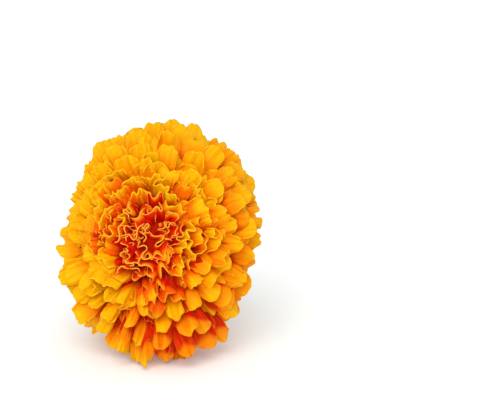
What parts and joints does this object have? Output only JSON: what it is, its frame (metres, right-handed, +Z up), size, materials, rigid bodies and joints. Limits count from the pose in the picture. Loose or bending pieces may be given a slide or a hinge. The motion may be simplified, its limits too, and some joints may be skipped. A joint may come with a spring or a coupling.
{
  "type": "marigold flower",
  "caption": "Double marigold flower head in orange, with a ruffled red-orange centre, a green toothed cup and a short cut stalk, lying on its side.",
  "frame": {"origin": "middle of the bottom of the box round the flower, on the surface that it lies on", "axes": "+Z up, -Y the way the flower faces, +X to its right as seen by a viewer in front"},
  "size_m": [0.0667, 0.0646, 0.0766],
  "materials": {
    "petal": "fresh petal, satin, thin and slightly translucent",
    "centre": "fresh petal, deeper red-orange, satin",
    "involucre": "green plant skin, satin, ribbed"
  },
  "bodies": {
    "root": {"outer_petals": "petal", "centre_florets": "centre", "involucre_and_stalk": "involucre"}
  },
  "joints": []
}
